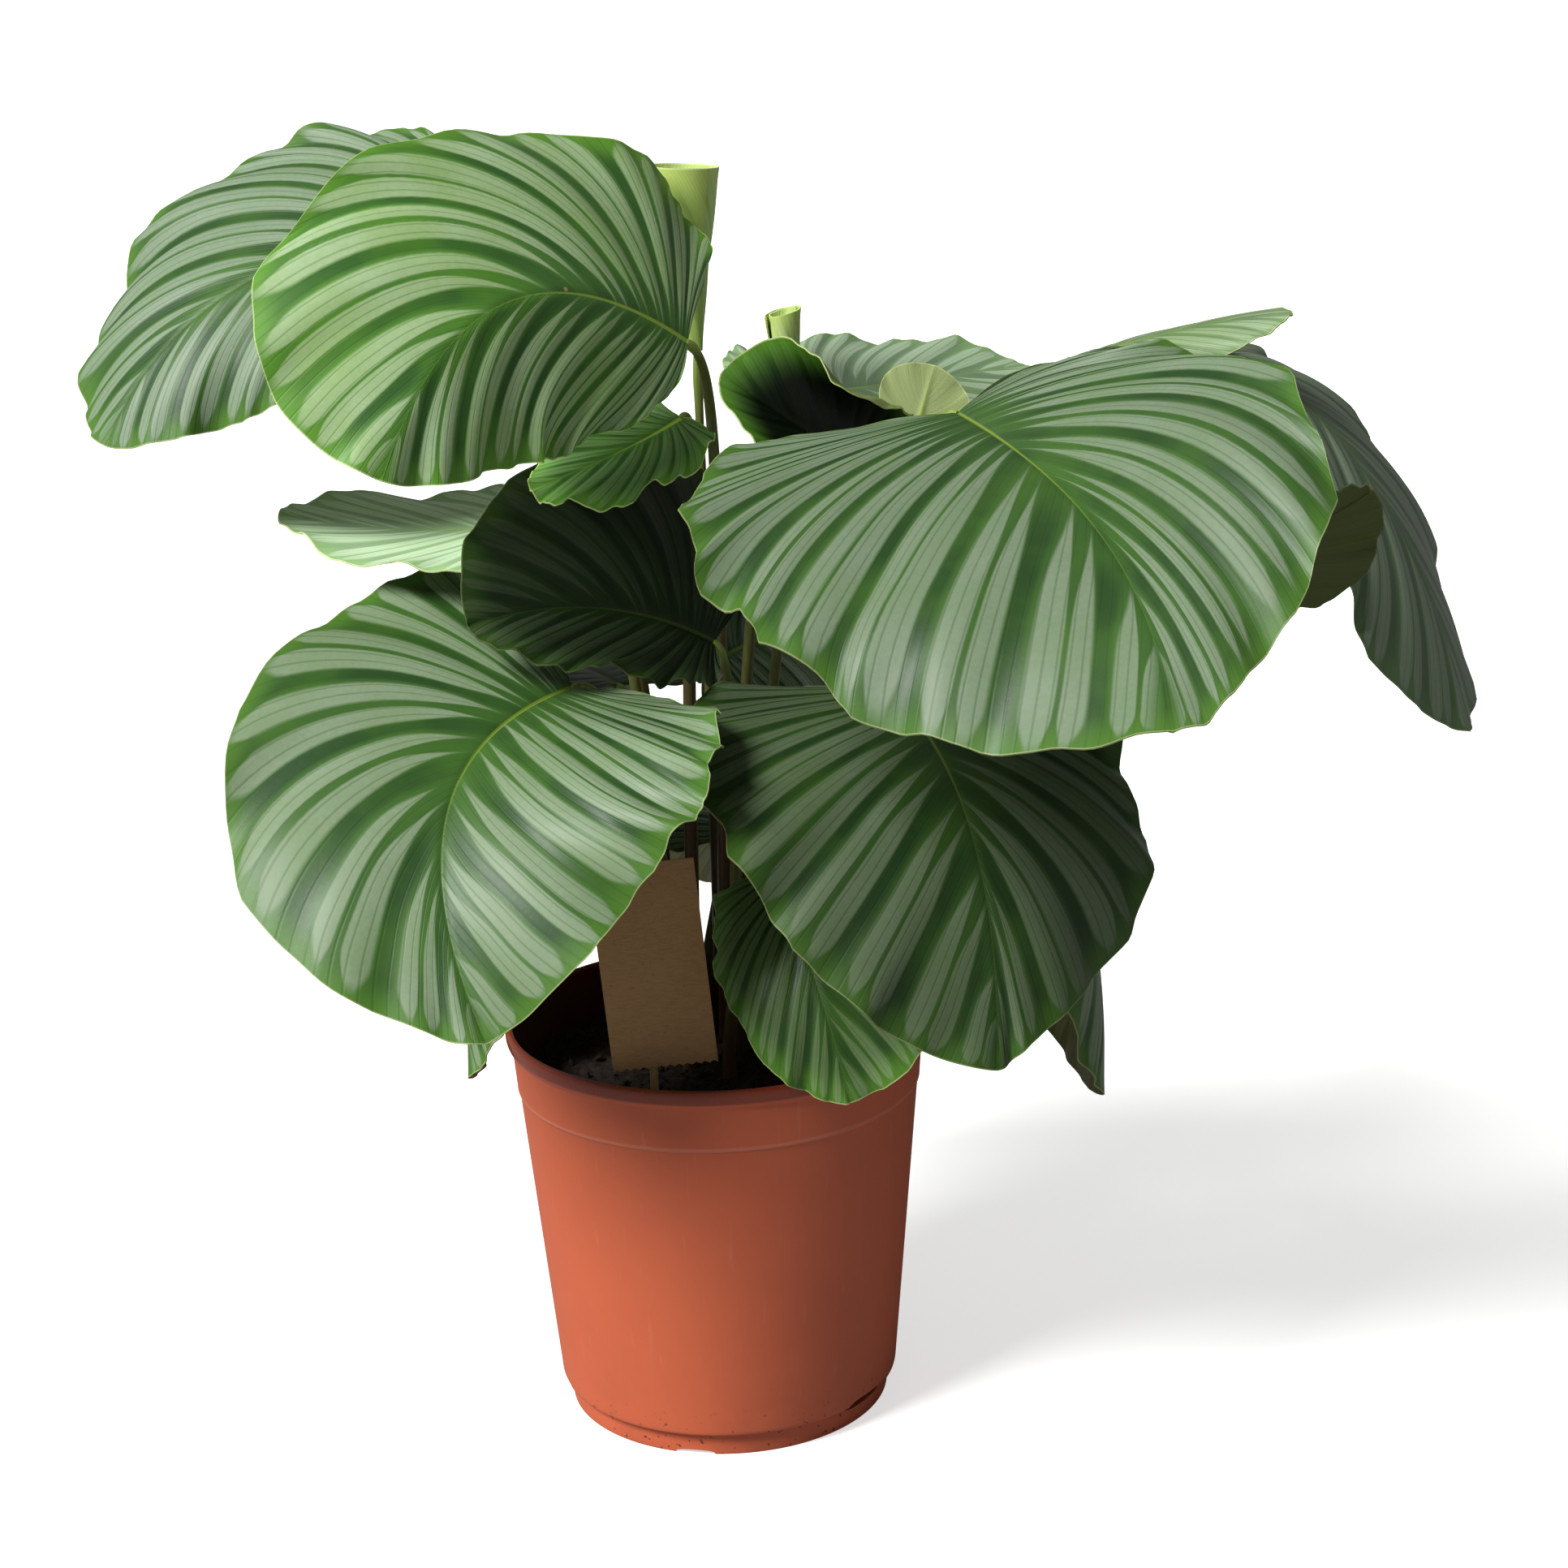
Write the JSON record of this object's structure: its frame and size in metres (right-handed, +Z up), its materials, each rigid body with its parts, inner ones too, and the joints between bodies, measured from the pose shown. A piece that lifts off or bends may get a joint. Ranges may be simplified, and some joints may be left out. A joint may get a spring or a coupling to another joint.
{
  "type": "potted round-leaf calathea",
  "caption": "Leafy houseplant with broad round leaves banded in silver and green on slim stems, standing in a tapered terracotta-coloured pot with a bare card tag.",
  "frame": {"origin": "centre of the pot's underside, on the plane it stands on", "axes": "+Z up along the pot's axis, +X to the viewer's right, +Y away from the viewer"},
  "size_m": [0.6915, 0.4889, 0.6364],
  "materials": {
    "leaf": "satin, banded",
    "pale_leaf": "satin, pale",
    "young_leaf": "satin, fresh green",
    "stem": "smooth",
    "pot": "fine matt",
    "soil": "crumbly peat",
    "card": "uncoated brown card",
    "stick": "raw"
  },
  "bodies": {
    "root": {"leaf_back_left": "leaf", "leaf_back_low": "leaf", "leaf_back_right": "leaf", "leaf_big_right": "leaf", "leaf_curled_middle": "leaf", "leaf_far_right": "leaf", "leaf_hanging_left": "leaf", "leaf_hanging_right": "leaf", "leaf_high_left_back": "leaf", "leaf_high_left_front": "leaf", "leaf_low_left": "leaf", "leaf_low_right": "leaf", "leaf_over_rim": "leaf", "leaf_pale_back": "pale_leaf", "leaf_pale_left": "pale_leaf", "leaf_right_behind": "leaf", "leaf_ruffled_middle": "leaf", "leaf_shaded_inner": "leaf", "leaf_short_roll": "young_leaf", "leaf_slim_right_back": "pale_leaf", "leaf_small_round": "pale_leaf", "leaf_tall_roll": "young_leaf", "pot": "pot", "soil": "soil", "stem_back_left": "stem", "stem_back_low": "stem", "stem_back_right": "stem", "stem_big_right": "stem", "stem_curled_middle": "stem", "stem_far_right": "stem", "stem_hanging_left": "stem", "stem_hanging_right": "stem", "stem_high_left_back": "stem", "stem_high_left_front": "stem", "stem_low_left": "stem", "stem_low_right": "stem", "stem_over_rim": "stem", "stem_pale_back": "stem", "stem_pale_left": "stem", "stem_right_behind": "stem", "stem_ruffled_middle": "stem", "stem_shaded_inner": "stem", "stem_short_roll": "stem", "stem_slim_right_back": "stem", "stem_small_round": "stem", "stem_tall_roll": "stem", "tag_card": "card", "tag_stick": "stick"}
  },
  "joints": []
}
